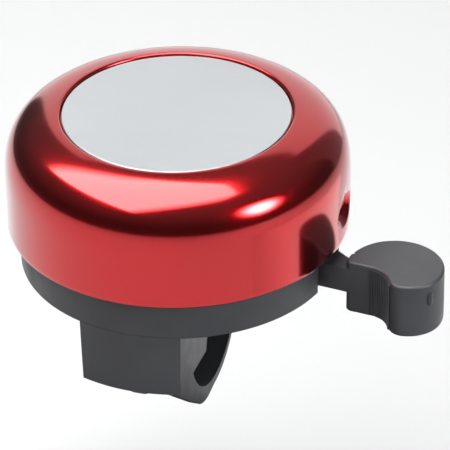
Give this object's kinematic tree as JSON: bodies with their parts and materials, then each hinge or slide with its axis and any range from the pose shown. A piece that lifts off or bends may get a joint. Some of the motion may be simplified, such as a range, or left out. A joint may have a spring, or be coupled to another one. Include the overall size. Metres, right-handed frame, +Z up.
{
  "type": "bicycle bell",
  "caption": "Thumb-lever bicycle bell: glossy red domed shell with a flat grey cover disc on a black plastic base with a hinged handlebar clamp.",
  "frame": {"origin": "centre of the handlebar, on its axis, straight under the middle of the dome", "axes": "+Z up along the dome's axis, +X along the handlebar towards the thumb lever, the clamp screw on the -Y side"},
  "size_m": [0.0695, 0.053, 0.0491],
  "materials": {
    "red_anodised": "gloss red anodised, polished",
    "disc_silver": "satin light grey",
    "black_plastic": "fine satin moulded",
    "gear_plastic": "natural acetal",
    "zinc_steel": "bright zinc plated",
    "spring_steel": "drawn spring wire",
    "ring_steel": "nickel plated"
  },
  "bodies": {
    "base": {"base_housing": "black_plastic", "dome": "red_anodised", "cover_disc": "disc_silver", "dome_washer": "zinc_steel", "dome_nut": "zinc_steel", "centre_post": "zinc_steel", "spacer_sleeve": "zinc_steel", "rotor_clip": "zinc_steel", "strap_hinge_pin": "zinc_steel", "clamp_nut": "zinc_steel", "lever_pin": "zinc_steel", "lever_clip": "zinc_steel", "lever_return_spring": "spring_steel", "idler_pin": "zinc_steel", "idler_clip": "zinc_steel"},
    "lever": {"thumb_lever": "black_plastic"},
    "idler": {"idler_gear": "gear_plastic"},
    "rotor": {"rotor_pinion": "gear_plastic", "striker_bar": "zinc_steel", "striker_pin_1": "zinc_steel", "striker_pin_2": "zinc_steel"},
    "ring_1": {"striker_ring_1": "ring_steel"},
    "ring_2": {"striker_ring_2": "ring_steel"},
    "strap": {"clamp_strap": "black_plastic"},
    "washer": {"clamp_washer": "zinc_steel"},
    "screw": {"clamp_screw": "zinc_steel"}
  },
  "joints": [
    {"name": "lever_turn", "type": "hinge", "parent": "base", "child": "lever", "pos_m": [0.01795, -0.00135, 0.0138], "axis": [0, 0, 1], "range_deg": [0, 32], "stiffness_Nm_per_rad": 0.08, "springref_deg": -17.19, "deforming": ["lever_return_spring"]},
    {"name": "idler_turn", "type": "hinge", "parent": "base", "child": "idler", "pos_m": [0.00728, 0.01004, 0.0138], "axis": [0, 0, 1], "range_deg": [-107, 0]},
    {"name": "rotor_turn", "type": "hinge", "parent": "base", "child": "rotor", "pos_m": [0, 0, 0.0168], "axis": [0, 0, 1], "range_deg": [0, 260.7]},
    {"name": "ring_1_slide", "type": "slide", "parent": "rotor", "child": "ring_1", "axis": [0.6428, 0.766, 0], "range_m": [-0.0013, 0.0013]},
    {"name": "ring_2_slide", "type": "slide", "parent": "rotor", "child": "ring_2", "axis": [-0.6428, -0.766, 0], "range_m": [-0.0013, 0.0013]},
    {"name": "strap_hinge", "type": "hinge", "parent": "base", "child": "strap", "pos_m": [0, 0.01287, 0.006], "axis": [1, 0, 0], "range_deg": [0, 5]},
    {"name": "washer_drop", "type": "slide", "parent": "base", "child": "washer", "axis": [0, 0, -1], "range_m": [0, 0.0027]},
    {"name": "screw_spin", "type": "hinge", "parent": "washer", "child": "screw", "pos_m": [0, -0.0156, 0], "axis": [0, 0, 1], "range_deg": [-1944, 0]}
  ],
  "couplings": [
    {"joint": "lever_turn", "follows": "rotor_turn", "ratio": 0.12273},
    {"joint": "idler_turn", "follows": "rotor_turn", "ratio": -0.40909},
    {"joint": "screw_spin", "follows": "washer_drop", "rad_per_m": -12566},
    {"joint": "strap_hinge", "follows": "washer_drop", "rad_per_m": 32.258}
  ]
}
